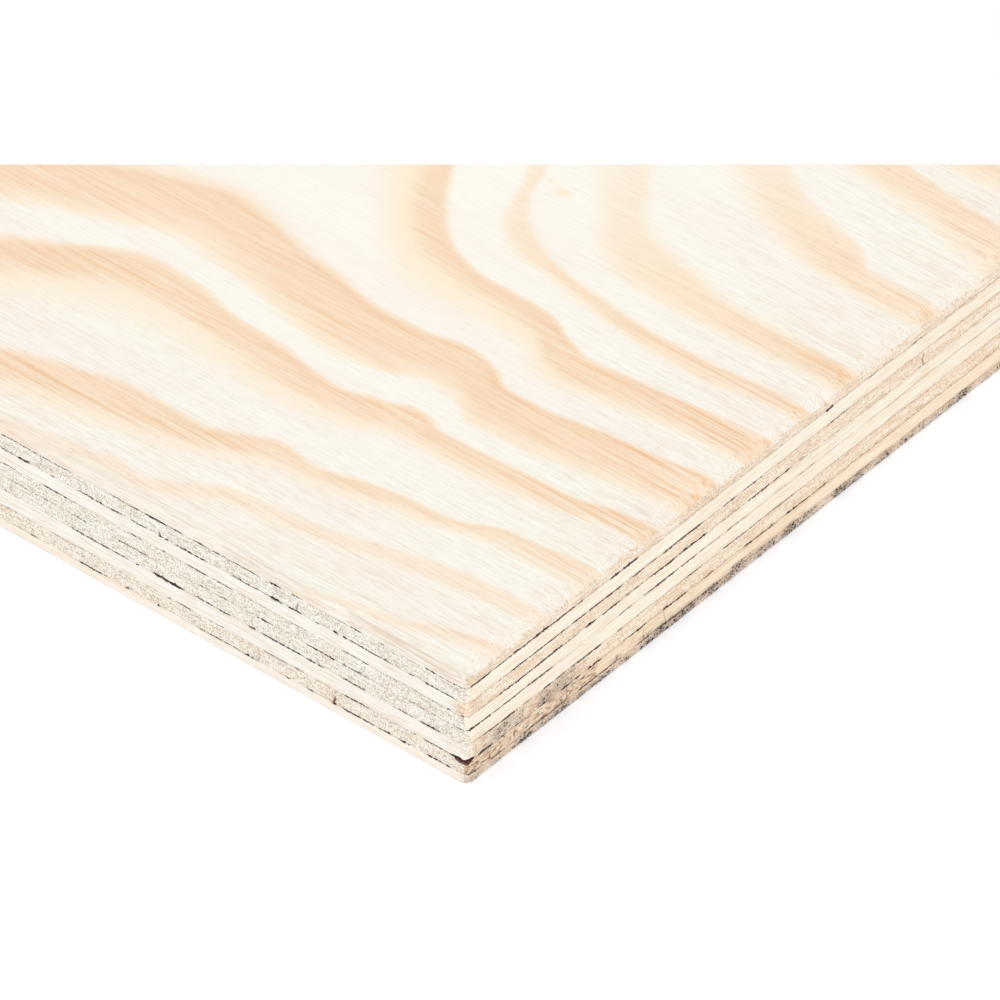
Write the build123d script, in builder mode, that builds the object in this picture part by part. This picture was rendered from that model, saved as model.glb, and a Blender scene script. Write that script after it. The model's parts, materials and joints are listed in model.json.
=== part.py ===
"""Softwood plywood sheet: eight rotary-cut veneers, glued face to face with their grain crossed.

The sheet lies flat with +Z up. X runs along the length, which is also the way the face grain runs,
and Y across the width. The origin is the middle of the underside. Sizes are in millimetres.
"""

import os

from build123d import *

# Driving sizes of the whole sheet
sheet_length = 1220.0
sheet_width = 610.0

# Veneer thicknesses: the two outer ones are thinner, because the faces are sanded after pressing
face_thickness = 1.8
back_thickness = 1.8
inner_thickness = 2.4

# Rounding that sanding and handling leave on the outer arrises and on the four upright corners
eased_arris = 0.3
eased_corner = 0.4

# Splinter broken out of the lower crossband at one corner, under the ply above it
chip_length = 2.8
chip_width = 1.0
chip_height = 0.8

# The veneers from the underside up, as (name, thickness)
veneers = [
    ("back_veneer", back_thickness),
    ("lower_crossband", inner_thickness),
    ("lower_inner_ply", inner_thickness),
    ("lower_centre_ply", inner_thickness),
    ("upper_centre_ply", inner_thickness),
    ("upper_inner_ply", inner_thickness),
    ("upper_crossband", inner_thickness),
    ("face_veneer", face_thickness),
]
chipped_veneer = "lower_crossband"
eased_arrises = {"back_veneer": 0, "face_veneer": -1}


def splinter(top):
    """The broken-out splinter: a triangle on the glue line that runs down to a point at the sheet's corner."""
    corner_x = sheet_length / 2
    corner_y = -sheet_width / 2
    with BuildPart() as broken:
        with BuildSketch(Plane.XY.offset(top)) as mouth:
            with BuildLine():
                Polyline(
                    (corner_x, corner_y),
                    (corner_x, corner_y + chip_width),
                    (corner_x - chip_length, corner_y),
                    close=True,
                )
            make_face()
        loft(sections=[mouth.sketch.face(), Vertex(corner_x, corner_y, top - chip_height)])
    return broken.part


def veneer(name, bottom, thickness):
    """One veneer of the full sheet size, with its underside at the height given."""
    with BuildPart() as ply:
        with BuildSketch(Plane.XY.offset(bottom)):
            Rectangle(sheet_length, sheet_width)
        extrude(amount=thickness)
        fillet(ply.edges().filter_by(Axis.Z), radius=eased_corner)
        if name in eased_arrises:
            outer_face = ply.faces().filter_by(Axis.Z).sort_by(Axis.Z)[eased_arrises[name]]
            fillet(outer_face.edges(), radius=eased_arris)
        if name == chipped_veneer:
            add(splinter(bottom + thickness), mode=Mode.SUBTRACT)
    ply.part.label = name
    return ply.part


os.makedirs("parts", exist_ok=True)
height = 0.0
for name, thickness in veneers:
    piece = veneer(name, height, thickness)
    export_step(piece, f"parts/{name}.step")
    print(name, "from", round(height, 3), "to", round(height + thickness, 3), "volume", round(piece.volume))
    height += thickness
print("sheet", sheet_length, "x", sheet_width, "x", round(height, 3))
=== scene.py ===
# %% [markdown]
# # A sheet of softwood plywood
#
# The sheet is eight thin veneers of pine, glued face to face with the grain of each one turned a
# quarter turn against the next. The CAD model gives us their sizes and places. In this lesson we
# give every veneer its own worn, sawn edges and its own wood, and then photograph one corner.
#
# We load the CAD model first. It is a fixed frame: nothing in it is moved, and each veneer that we
# model takes the place of one of its nodes.

# %% Load the frame
import json
import math

import bmesh
import bpy
import numpy as np
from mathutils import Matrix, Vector, noise


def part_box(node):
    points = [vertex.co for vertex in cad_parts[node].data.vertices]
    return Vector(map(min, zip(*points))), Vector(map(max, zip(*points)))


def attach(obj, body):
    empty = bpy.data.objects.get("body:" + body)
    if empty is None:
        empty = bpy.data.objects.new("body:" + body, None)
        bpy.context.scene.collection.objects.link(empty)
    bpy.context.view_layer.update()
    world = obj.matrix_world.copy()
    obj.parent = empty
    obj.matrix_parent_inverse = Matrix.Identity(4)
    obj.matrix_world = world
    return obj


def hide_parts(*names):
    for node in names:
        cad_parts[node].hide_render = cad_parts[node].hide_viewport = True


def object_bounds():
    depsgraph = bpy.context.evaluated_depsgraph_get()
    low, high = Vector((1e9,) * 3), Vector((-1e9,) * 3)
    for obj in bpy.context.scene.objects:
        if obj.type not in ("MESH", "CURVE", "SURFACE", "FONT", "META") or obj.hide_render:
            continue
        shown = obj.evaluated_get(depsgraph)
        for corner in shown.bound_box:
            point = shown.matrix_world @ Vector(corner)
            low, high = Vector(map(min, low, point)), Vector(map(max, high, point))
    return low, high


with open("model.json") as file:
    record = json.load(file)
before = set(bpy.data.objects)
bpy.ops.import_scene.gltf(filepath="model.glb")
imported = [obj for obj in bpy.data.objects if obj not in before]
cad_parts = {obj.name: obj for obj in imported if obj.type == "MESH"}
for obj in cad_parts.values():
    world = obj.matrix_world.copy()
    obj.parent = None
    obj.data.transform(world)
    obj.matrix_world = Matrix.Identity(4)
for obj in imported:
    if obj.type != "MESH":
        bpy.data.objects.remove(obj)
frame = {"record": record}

mm = 0.001
sheet_low, sheet_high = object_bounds()
sheet_length = sheet_high.x - sheet_low.x
sheet_width = sheet_high.y - sheet_low.y
sheet_height = sheet_high.z - sheet_low.z
print("sheet", round(sheet_length / mm), "x", round(sheet_width / mm), "x", round(sheet_height / mm), "mm")

# %% [markdown]
# ## The camera
#
# The photograph is a close-up of one corner, taken from far off with a long lens, so that parallel
# edges stay nearly parallel. We could push a camera about until it looks right. It is surer to
# write down what was measured on the picture: the two angles of view, how many pixels a metre
# takes at the corner, and the pixel where the foot of the corner stands. The camera's place and
# its lens follow from those.

# %% Place the camera
photo_size = 1000
view_azimuth = math.radians(40.11)
view_elevation = math.radians(40.27)
view_distance = 2.0
pixels_per_metre = 7865.0
foot_pixel = (467.0, 786.3)


def direction(azimuth, elevation):
    """The way from the corner to something that is seen at two angles."""
    return Vector((
        math.sin(azimuth) * math.cos(elevation),
        -math.cos(azimuth) * math.cos(elevation),
        math.sin(elevation),
    ))


def put_in_scene(name, data):
    """A new object in the scene, at the origin."""
    made = bpy.data.objects.new(name, data)
    bpy.context.scene.collection.objects.link(made)
    return made


corner_foot = Vector((sheet_high.x, sheet_low.y, sheet_low.z))
towards_camera = direction(view_azimuth, view_elevation)
picture_right = Vector((math.cos(view_azimuth), math.sin(view_azimuth), 0.0))
picture_up = towards_camera.cross(picture_right)
foot_right = (foot_pixel[0] - photo_size / 2) / pixels_per_metre
foot_up = (photo_size / 2 - foot_pixel[1]) / pixels_per_metre

camera_data = bpy.data.cameras.new("camera")
camera = put_in_scene("camera", camera_data)
bpy.context.scene.camera = camera
camera.location = (
    corner_foot
    + towards_camera * view_distance
    - picture_right * foot_right
    - picture_up * foot_up
)
camera.rotation_mode = "QUATERNION"
camera.rotation_quaternion = (-towards_camera).to_track_quat("-Z", "Y")
camera_data.sensor_width = 36.0
camera_data.lens = camera_data.sensor_width * pixels_per_metre * view_distance / photo_size
print("camera at", tuple(round(c, 3) for c in camera.location), "lens", round(camera_data.lens), "mm")

# %% [markdown]
# The picture has a white margin above the sheet: the face is cut off along a level row of pixels.
# A camera stops seeing at its clip distance, which is a plane square to the view, and such a plane
# crosses a level face along a level row. So we work out how far off the face is at that row.

# %% Cut the view off at the margin
margin_row = 164.5
rise_per_depth = (photo_size / 2 - margin_row) / (pixels_per_metre * view_distance)
face_up = sheet_height * math.cos(view_elevation) + foot_up
face_near = view_distance - sheet_height * math.sin(view_elevation)
along_face = rise_per_depth * face_near - face_up
along_face /= math.sin(view_elevation) - rise_per_depth * math.cos(view_elevation)
camera_data.clip_end = face_near + along_face * math.cos(view_elevation)
print("the view ends", round(camera_data.clip_end, 4), "m from the camera")

# %% [markdown]
# ## Floor and light
#
# The sheet lies on a plain white floor under an even white sky, with one broad soft lamp high on
# the camera's side. Together they bring a level surface to about the brightness that its colour is
# written with.
#
# The floor could be a single huge face. A coarse grid is safer, because rays that meet one face of
# 200 m suffer from rounding. It lies a hair under the sheet, so that the two never share a plane.

# %% Floor
floor_size = 200.0
floor_gap = 0.05 * mm
floor_cells = 8

floor_bm = bmesh.new()
bmesh.ops.create_grid(floor_bm, x_segments=floor_cells, y_segments=floor_cells, size=floor_size / 2)
bmesh.ops.translate(floor_bm, verts=floor_bm.verts, vec=(0.0, 0.0, sheet_low.z - floor_gap))
floor_mesh = bpy.data.meshes.new("floor")
floor_bm.to_mesh(floor_mesh)
floor_bm.free()
floor = put_in_scene("floor", floor_mesh)
print("floor", floor_size, "m wide")

# %% [markdown]
# Its paint is matt white. A little light of its own is added for the camera alone, so that it
# looks plain white and still takes the shadow at the foot of the edges. A brighter paint would
# throw that light back onto the sheet.

# %% Floor paint
floor_white = (0.93, 0.935, 0.95, 1.0)
floor_lift = 0.16
floor_lift_tint = (0.9, 1.0, 1.15, 1.0)

floor_paint = bpy.data.materials.new("floor_white")
floor_paint.use_nodes = True
nodes = floor_paint.node_tree.nodes
links = floor_paint.node_tree.links
nodes.clear()
matt = nodes.new("ShaderNodeBsdfDiffuse")
matt.inputs["Color"].default_value = floor_white
lift = nodes.new("ShaderNodeEmission")
lift.inputs["Color"].default_value = floor_lift_tint
ray = nodes.new("ShaderNodeLightPath")
seen = nodes.new("ShaderNodeMath")
seen.operation = "MULTIPLY"
seen.inputs[1].default_value = floor_lift
both = nodes.new("ShaderNodeAddShader")
floor_out = nodes.new("ShaderNodeOutputMaterial")
links.new(ray.outputs["Is Camera Ray"], seen.inputs[0])
links.new(seen.outputs[0], lift.inputs["Strength"])
links.new(matt.outputs[0], both.inputs[0])
links.new(lift.outputs[0], both.inputs[1])
links.new(both.outputs[0], floor_out.inputs["Surface"])
floor_mesh.materials.append(floor_paint)
print("floor paint with", len(nodes), "nodes")

# %% [markdown]
# The sky lights the sheet from all sides, as a white tent does round a thing that is photographed.
# The camera should see it plain white, though it shines a little less than that on the wood. So
# there are two backgrounds, and the kind of ray chooses between them.

# %% Sky
sky_level = 0.80

sky = bpy.data.worlds.new("sky")
bpy.context.scene.world = sky
sky.use_nodes = True
nodes = sky.node_tree.nodes
links = sky.node_tree.links
nodes.clear()
ray = nodes.new("ShaderNodeLightPath")
plain = nodes.new("ShaderNodeBackground")
plain.inputs["Strength"].default_value = 1.0
light = nodes.new("ShaderNodeBackground")
light.inputs["Strength"].default_value = sky_level
glossy = nodes.new("ShaderNodeMath")
glossy.operation = "MAXIMUM"
through = nodes.new("ShaderNodeMath")
through.operation = "MAXIMUM"
choose = nodes.new("ShaderNodeMixShader")
sky_out = nodes.new("ShaderNodeOutputWorld")
links.new(ray.outputs["Is Camera Ray"], glossy.inputs[0])
links.new(ray.outputs["Is Glossy Ray"], glossy.inputs[1])
links.new(glossy.outputs[0], through.inputs[0])
links.new(ray.outputs["Is Transmission Ray"], through.inputs[1])
links.new(through.outputs[0], choose.inputs[0])
links.new(light.outputs[0], choose.inputs[1])
links.new(plain.outputs[0], choose.inputs[2])
links.new(choose.outputs[0], sky_out.inputs["Surface"])
for background in (plain, light):
    background.inputs["Color"].default_value = (1.0, 1.0, 1.0, 1.0)
print("sky", sky_level, "with", len(nodes), "nodes")

# %% [markdown]
# One lamp gives the light a direction. An area lamp could do it, but its light would fall off along
# the sheet. A sun with a wide angle acts like a large soft box that is far away: it shades the
# edges a little against the face, and its shadows have no hard rim. The view transform is the
# plain one, so that a colour comes out as it was written.

# %% Lamp
lamp_level = 0.9
lamp_azimuth = math.radians(45.0)
lamp_elevation = math.radians(42.0)
lamp_breadth = math.radians(60.0)

lamp_data = bpy.data.lights.new("soft_lamp", "SUN")
lamp_data.energy = lamp_level
lamp_data.angle = lamp_breadth
lamp = put_in_scene("soft_lamp", lamp_data)
lamp.rotation_mode = "QUATERNION"
lamp.rotation_quaternion = (-direction(lamp_azimuth, lamp_elevation)).to_track_quat("-Z", "Y")
bpy.context.scene.view_settings.view_transform = "Standard"
print("lamp", lamp_level)

# %% [markdown]
# ## Where the points of a veneer go
#
# A veneer is a board about 2 mm thick. What we see of six of the eight is only the sawn rim, so
# that is where its points should be: very close together near the photographed corner, and wider
# apart the further they are from it. `graded` lists such distances along one edge. A bmesh
# operator always divides an edge evenly, so we divide first and then spread the points out.

# %% Graded distances
rim_growth = 1.06
close_length = 84 * mm
close_width = 112 * mm
rim_fine = 0.16 * mm
rim_coarse = 3.0 * mm


def graded(length, close, fine, coarse, growth=rim_growth):
    """Distances along an edge from the photographed corner, fine up to `close` and then growing."""
    marks = [0.0]
    step = fine
    while marks[-1] + 1.5 * step < length:
        marks.append(marks[-1] + step)
        if marks[-1] > close:
            step = min(step * growth, coarse)
    marks.append(length)
    return np.array(marks)


length_marks = graded(sheet_length, close_length, rim_fine, rim_coarse)
width_marks = graded(sheet_width, close_width, rim_fine, rim_coarse)
far_length_marks = graded(sheet_length, 0.0, rim_coarse, rim_coarse)
far_width_marks = graded(sheet_width, 0.0, rim_coarse, rim_coarse)
whole_length = np.array((0.0, sheet_length))
whole_width = np.array((0.0, sheet_width))
print("points along the length", len(length_marks), "and along the width", len(width_marks))

# %% [markdown]
# `spread` takes points that stand evenly on a square of side 1 and puts each where its distance in
# the list says. The photographed corner is at the end of X and the start of Y.

# %% Spread the points
def spread(verts, along_length, along_width):
    """Moves the points of an evenly divided unit square to their graded places on the sheet."""
    even_length = np.linspace(0.0, 1.0, len(along_length))
    even_width = np.linspace(0.0, 1.0, len(along_width))
    for vert in verts:
        vert.co.x = sheet_high.x - np.interp(0.5 - vert.co.x, even_length, along_length)
        vert.co.y = sheet_low.y + np.interp(0.5 + vert.co.y, even_width, along_width)


print("finest step along an edge", round(rim_fine / mm, 2), "mm")

# %% [markdown]
# ## A plain veneer
#
# The rim starts as a square of four edges. We divide each edge, spread the points, and then
# extrude the whole loop from ring to ring: along the underside out to the edge, up the edge in
# rows, and back in over the top. Filling the first and the last ring closes the board. The rows
# are close together near the two glue lines, where the small damage is.

# %% Rings
tuck = 1.2 * mm
level_shares = (0.0, .025, .06, .11, .18, .27, .36, .45, .55, .64, .73, .82, .89, .94, .975, 1.0)


def side_marks(place):
    """The graded distances for a place on the starting square: along the length, and along the width."""
    if abs(place.y) > abs(place.x):
        return (length_marks if place.y < 0.0 else far_length_marks), whole_width
    return whole_length, (width_marks if place.x > 0.0 else far_width_marks)


def first_ring(bm, margin, height):
    """A loop of edges round the sheet, `margin` in from its outline."""
    bmesh.ops.create_grid(bm, x_segments=1, y_segments=1, size=0.5)
    bmesh.ops.delete(bm, geom=bm.faces[:], context="FACES_ONLY")
    for outward in (Vector((0, -1, 0)), Vector((0, 1, 0)), Vector((1, 0, 0)), Vector((-1, 0, 0))):
        side = max(bm.edges, key=lambda edge: (edge.verts[0].co + edge.verts[1].co).dot(outward))
        cuts = max(len(marks) for marks in side_marks(outward)) - 2
        bmesh.ops.subdivide_edges(bm, edges=[side], cuts=cuts)
    for vert in bm.verts:
        spread([vert], *side_marks(vert.co))
    shift_ring(bm.verts, 0.0, margin, height)
    return bm.edges[:]


def shift_ring(verts, old_margin, margin, height):
    """Moves a ring to a new margin and height."""
    grow_x = (sheet_length / 2 - margin) / (sheet_length / 2 - old_margin)
    grow_y = (sheet_width / 2 - margin) / (sheet_width / 2 - old_margin)
    for vert in verts:
        vert.co = (vert.co.x * grow_x, vert.co.y * grow_y, height)


def next_ring(bm, ring, old_margin, margin, height):
    """Extrudes a loop of edges to its next place."""
    made = bmesh.ops.extrude_edge_only(bm, edges=ring)["geom"]
    verts = {part for part in made if isinstance(part, bmesh.types.BMVert)}
    shift_ring(verts, old_margin, margin, height)
    return [part for part in made if isinstance(part, bmesh.types.BMEdge) and verts.issuperset(part.verts)]


def edge_rings(low, high):
    """(margin, height) of the rings of a veneer with flat faces, from its underside to its top."""
    rows = [(0.0, low + share * (high - low)) for share in level_shares]
    return [(tuck, low)] + rows + [(tuck, high)]


def plain_veneer(rings):
    """A closed board through the rings given, with its first and last ring still open."""
    bm = bmesh.new()
    margin, height = rings[0]
    first = first_ring(bm, margin, height)
    ring = first
    for next_margin, next_height in rings[1:]:
        ring = next_ring(bm, ring, margin, next_margin, next_height)
        margin = next_margin
    return bm, first, ring


print("rings of a veneer", len(edge_rings(0.0, 1.0)))

# %% [markdown]
# The two outer veneers show a whole face, so theirs has a grid of points: long cells along the
# grain and narrow ones across it, as wood itself is built. The grid stops a little way inside the
# rim, and `triangle_fill` closes the strip between the two loops. The outer arris is eased by a
# steep step and a flat one, as if sandpaper had passed along it.

# %% Visible faces
eased_face = 0.3 * mm
eased_foot = 0.12 * mm
eased_steps = ((0.0, 1.0), (0.3, 0.3), (1.0, 0.0), (2.0, 0.0))
face_margin = 2.5 * mm
face_fine = (1.5 * mm, 0.6 * mm)
face_coarse = (12.0 * mm, 6.0 * mm)
face_close = (120 * mm, 128 * mm)
face_growth = 1.1


def face_grid(bm, height, fine):
    """A graded grid over the whole face, inside the rim. Gives back its outline."""
    along_length = graded(sheet_length, face_close[0], fine[0], face_coarse[0], face_growth)
    along_width = graded(sheet_width, face_close[1], fine[1], face_coarse[1], face_growth)
    made = bmesh.ops.create_grid(
        bm, x_segments=len(along_length) - 1, y_segments=len(along_width) - 1, size=0.5
    )
    spread(made["verts"], along_length, along_width)
    shift_ring(made["verts"], 0.0, face_margin, height)
    edges = {edge for vert in made["verts"] for edge in vert.link_edges}
    return [edge for edge in edges if edge.is_boundary]


def close_flat(bm, ring):
    """Fills a ring that lies against the next veneer with one flat face."""
    bmesh.ops.edgeloop_fill(bm, edges=ring)


def close_with_grid(bm, ring, height, fine):
    """Fills a ring of an outer face with a grid and a strip round it."""
    outline = face_grid(bm, height, fine)
    up = (0.0, 0.0, 1.0)
    bmesh.ops.triangle_fill(bm, edges=ring + outline, use_beauty=True, use_dissolve=False, normal=up)


def veneer_mesh(name, low, high):
    """The plain mesh of one veneer, before its edges are worn."""
    rings = edge_rings(low, high)
    if name == "face_veneer":
        rings = [ring for ring in rings if ring[1] < high - eased_face]
        rings += [(eased_face * share, high - eased_face * drop) for share, drop in eased_steps]
    if name == "back_veneer":
        rings = [ring for ring in rings if ring[1] > low + eased_foot]
        eased = [(eased_foot * share, low + eased_foot * drop) for share, drop in reversed(eased_steps)]
        rings = eased + rings
    bm, first, last = plain_veneer(rings)
    if name == "back_veneer":
        close_with_grid(bm, first, low, face_coarse)
    else:
        close_flat(bm, first)
    if name == "face_veneer":
        close_with_grid(bm, last, high, face_fine)
    else:
        close_flat(bm, last)
    bmesh.ops.recalc_face_normals(bm, faces=bm.faces)
    for face in bm.faces:
        face.smooth = len(face.verts) < 5
    mesh = bpy.data.meshes.new(name + "_wood")
    bm.to_mesh(mesh)
    bm.free()
    return mesh


print("finest cells of the face", [round(side / mm, 1) for side in face_fine], "mm")

# %% [markdown]
# ## Uneven things
#
# Wood is never even, so most of what follows is a plain rule plus a little wander. Blender's own
# Perlin noise gives the same wander on every run. `feature_size` says how large its features
# are along X, Y and Z.

# %% Wander
pattern_step = (17.3, 41.7, 29.1)


def wander(places, feature_size, pattern):
    """Smooth noise from about -1 to 1 at each place. Each pattern number gives another noise."""
    cells = places / np.array(feature_size) + pattern * np.array(pattern_step)
    return np.array([noise.noise(cell) for cell in cells.tolist()])


def soft_step(low, high, value):
    """0 below low, 1 above high, and a smooth rise between them."""
    share = np.clip((value - low) / (high - low), 0.0, 1.0)
    return share * share * (3.0 - 2.0 * share)


def corner_distances(places):
    """How far points lie from the end and from the long edge of the photographed corner, in mm."""
    return (sheet_high.x - places[:, 0]) / mm, (places[:, 1] - sheet_low.y) / mm


print("wander at the corner", np.round(wander(np.array([corner_foot]), (1.0, 1.0, 1.0), 1), 3))

# %% [markdown]
# ## Glue lines, and painted shade in their voids
#
# The glue cures nearly black. On a sawn edge it shows as a thin line that breaks off and starts
# again, thicker and darker where there is a void between the veneers: there the stroke is painted
# shade of the void as well as glue. For the photographed stretch the strokes are written down as
# seen: where they start and end, in millimetres from the corner, and how dark they are. A darkness
# over 1 is a stroke that is thicker too. Elsewhere they wander.
#
# Line 1 is over the back veneer and line 7 is under the face.

# %% Strokes seen on the long edge
long_edge_strokes = {
    7: [(0, 5, .5), (5.3, 7, .9), (13.5, 15, .35), (17.5, 19.5, .75), (20, 22, .4),
        (27.5, 29.5, .45), (31, 33, .95), (35, 40, .5), (40, 43, .5), (43.5, 46, .5),
        (47.5, 50, .6), (50.5, 54, 1.1), (54, 61, .45), (66.5, 79, .5)],
    6: [(2, 5.5, .75), (5.5, 7, 1.1), (8.5, 10, .5), (12.5, 20, .6), (20.1, 20.7, 1.5),
        (21.5, 22.5, 1.3), (24.7, 25.3, .6), (27.7, 30, 1.1), (31, 33, 1.9), (33, 39.5, .6),
        (43.5, 49, .75), (50.3, 50.8, 1.2), (51.2, 51.8, 1.4), (53.8, 57, .75), (58, 60, 1.1),
        (60, 66, .65), (69.5, 70.5, .5), (74, 76, 1.3), (76, 79, .5)],
    5: [(.7, 1.2, 1.0), (2.8, 3.4, .9), (3, 14, .3), (16, 21, .55), (26.5, 30, .35),
        (33, 38.5, .25), (39, 43, .45), (43.5, 47, .8), (50.8, 51.2, .8), (54.5, 57, .45),
        (64, 67, .3), (67, 72, .65), (76, 79, .45)],
    4: [(0, 3, .45), (5.2, 5.8, .4), (7, 8, .5), (8, 11, .4), (16.5, 21, .55), (21.5, 27, .8),
        (32.5, 35, .9), (39, 42, .55), (42, 45.5, .45), (53.5, 59, .6), (64.3, 64.8, 1.0),
        (64.5, 66.5, .45), (69.5, 73.5, .45), (74, 77, .6)],
    3: [(4.5, 8, .95), (9, 12.5, .55), (17, 21, .75), (24, 25, .9), (25.5, 27, 1.2),
        (27.5, 34.5, .9), (35.5, 36.7, .9), (39.8, 42, .75), (42, 46, .65), (47.8, 52.8, 1.6),
        (55.3, 55.8, .6), (57, 60, .6), (60, 62, .9), (62, 67, .65), (69.2, 69.7, .5),
        (75, 79, .25)],
    2: [(0, 3, 1.5), (3, 7.5, .6), (8.5, 9, .9), (16.5, 21, .65), (24.5, 25.5, .3), (27, 34.5, .45),
        (40.5, 43.5, .35), (46, 49, .65), (49.8, 50.5, .45), (62, 66, .3), (67, 71, .35),
        (76, 79, .35)],
    1: [(2.8, 4.2, .8), (4.5, 7, .9), (9.6, 10, .7), (10.3, 11.5, .9), (12.5, 15, .65),
        (15.5, 21, .85), (22, 22.5, 1.5), (25, 27, .45), (29.8, 30.5, .9), (35, 46, .55),
        (51.8, 52.3, 1.0), (57, 58, .5), (61, 66, .85), (73, 74, .8)],
}

print("strokes on the long edge", sum(map(len, long_edge_strokes.values())))

# %% [markdown]
# The end shows the same seven lines, put down in the same way. They are longer there and less
# broken, and the far ones are fainter.

# %% Strokes seen on the end
end_strokes = {
    7: [(.8, 5, .9), (5, 13, .65), (13, 21.5, .85), (13.8, 14.3, 1.3), (15.6, 16.3, 1.3),
        (22, 23, .5), (28.5, 30.5, 1.0), (31, 34, 1.2), (64, 67, .35), (72, 73.5, 1.6),
        (75, 76, .35), (80, 82.5, .7), (83, 87, .35), (89, 93, .5), (96, 108, .35)],
    6: [(6, 8.5, .25), (8.5, 13, .75), (13, 20, .65), (21, 24, .85), (24, 31, .85),
        (32.5, 38.5, .55), (39, 47, .85), (51, 54, .6), (55, 59.5, .65), (60, 71, .3), (72, 77, .6),
        (78, 81, .25), (86, 93, .25)],
    5: [(2, 6, .35), (6, 13, .75), (13, 19, .85), (19, 22.5, .45), (23.5, 25.5, 1.1),
        (27, 30.5, 1.0), (31, 36, .35), (36.5, 42, .85), (42, 48, .6), (50, 56, .3), (56, 61, .95),
        (61, 65, .85), (66, 71, .4), (73, 76, .5), (77, 81, .25), (90.5, 92.5, .6),
        (93, 108, .35)],
    4: [(0, 3, 1.0), (3, 5, .65), (5, 12, .45), (12, 17, .65), (26, 30, .2), (30, 33.5, .5),
        (35, 37, .65), (37, 42, 1.0), (42, 46, .65), (46, 51, .45), (51, 56.5, .5), (59, 64, .2),
        (66, 70, .55), (83, 93, .3), (97, 108, .2)],
    3: [(3, 7, .5), (7, 10, 1.0), (11, 13, .3), (15, 17, .65), (17.5, 19.5, .85), (20.5, 27, .75),
        (30, 31, .75), (33, 36, .2), (43, 47, .5), (51, 56, .7), (56, 66.5, .6), (71.5, 76, .35),
        (78, 92, .3)],
    2: [(0, 1.5, 1.6), (2.5, 5, 1.7), (6, 8, .5), (9, 12, .5), (14, 17, .5), (18.5, 21, .8),
        (21.5, 22.5, 1.4), (24, 27, .65), (32, 36, .6), (39, 44, .75), (46, 50, .4), (55, 62, .7),
        (64, 69, 1.1), (69, 73, .65), (73, 108, .4)],
    1: [(0, 2.5, .9), (4.5, 7.5, .95), (11, 20, .75), (22, 30.5, .75), (34, 36, .8), (38, 53, .8),
        (56, 60, .6)],
}
print("strokes on the end", sum(map(len, end_strokes.values())))

# %% [markdown]
# A stroke doesn't start all at once. It tapers towards both of its ends, and a short one over less
# of a way.

# %% Taper of a stroke
stroke_taper = 1.3
taper_share = 0.4


def stroke_darkness(strokes, along):
    """How dark a glue line is at each distance along its edge. Every stroke tapers towards its ends."""
    darkness = np.zeros_like(along)
    for start, end, dark in strokes:
        taper = min(stroke_taper, taper_share * (end - start))
        inside = np.minimum(along - start, end - along) / taper + taper_share
        darkness = np.maximum(darkness, dark * np.clip(inside, 0.0, 1.0))
    return darkness


darkest = stroke_darkness(end_strokes[7], np.arange(0.0, 110.0)).max()
print("darkest stroke under the face, on the end", round(darkest, 2))

# %% [markdown]
# ## Wearing the edges
#
# Now the plain rim gets its relief. Every point within a millimetre of an edge is moved a little
# way in: by the saw's slow waver, by the wood's own roughness, which is short on end grain and
# drawn out along the edge on long grain, and most of all beside a glue line, where the arris of
# each veneer has crumbled. The glue lines themselves rise and fall a little, and both veneers that
# meet in one follow the same rise.

# %% Sides of the sheet
rim_reach = 1.0 * mm


def edge_sides(places):
    """For each side: how strongly each point belongs to it, its way in, and the distance along it in mm."""
    from_end, from_edge = corner_distances(places)
    depths = {
        "front": places[:, 1] - sheet_low.y,
        "back": sheet_high.y - places[:, 1],
        "right": sheet_high.x - places[:, 0],
        "left": places[:, 0] - sheet_low.x,
    }
    inward = {"front": (0, 1), "back": (0, -1), "right": (-1, 0), "left": (1, 0)}
    sides = []
    for name, depth in depths.items():
        along = from_end if name in ("front", "back") else from_edge
        sides.append((name, np.clip(1.0 - depth / rim_reach, 0.0, 1.0), inward[name], along))
    return sides


print("relief reaches", rim_reach / mm, "mm in from an edge")

# %% [markdown]
# The strokes give the darkness of the glue, and of the painted shade in its voids, where the
# photograph shows it. Fine beads break it up there, and a faint line stays between the strokes.
# Past the photographed stretch, and on the two other sides, the darkness wanders by itself.

# %% Glue along one side
photographed_long = 80.0
photographed_end = 109.0
known_fade = 6.0
line_weights = {("front", 1): 1.15, ("front", 5): 1.3, ("front", 7): 1.1,
                ("right", 3): 1.2, ("right", 4): 1.2, ("right", 6): 1.2, ("right", 7): 0.95}


def glue_and_void_shade(line, side, along):
    """How dark the glue line, with the painted shade of its voids, is along one side. Lines 0 and 8 are the
    outer faces, with no glue.
    """
    # The darkness is black glue and, in its thickest strokes, painted shade of the voids between the
    # veneers.
    if not 1 <= line <= 7:
        return np.zeros_like(along)
    side_number = ("front", "back", "right", "left").index(side)
    places = np.stack([along, np.zeros_like(along), np.zeros_like(along)], axis=1)
    broken = wander(places, (2.6, 1.0, 1.0), 10 * line + side_number)
    slow = wander(places, (11.0, 1.0, 1.0), 10 * line + side_number + 100)
    anywhere = np.clip(0.25 + 1.1 * broken + 0.7 * slow, 0.08, 0.9)
    if side == "front":
        seen = stroke_darkness(long_edge_strokes[line], along)
        known = 1.0 - soft_step(photographed_long, photographed_long + known_fade, along)
    elif side == "right":
        seen = stroke_darkness(end_strokes[line], along)
        known = 1.0 - soft_step(photographed_end, photographed_end + known_fade, along)
    else:
        return anywhere
    beads = wander(places, (0.6, 1.0, 1.0), 10 * line + side_number + 200)
    seen *= line_weights.get((side, line), 1.0)
    if side == "front":
        seen *= 1.0 + beads
        faint = 0.15 + 0.1 * broken
    else:
        far = soft_step(40.0, 62.0, along)
        seen *= (1.25 - 0.52 * far) * (1.0 + 0.6 * beads)
        faint = 0.25 - 0.05 * far + 0.12 * broken
    return known * np.maximum(seen, faint) + (1.0 - known) * anywhere


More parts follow.
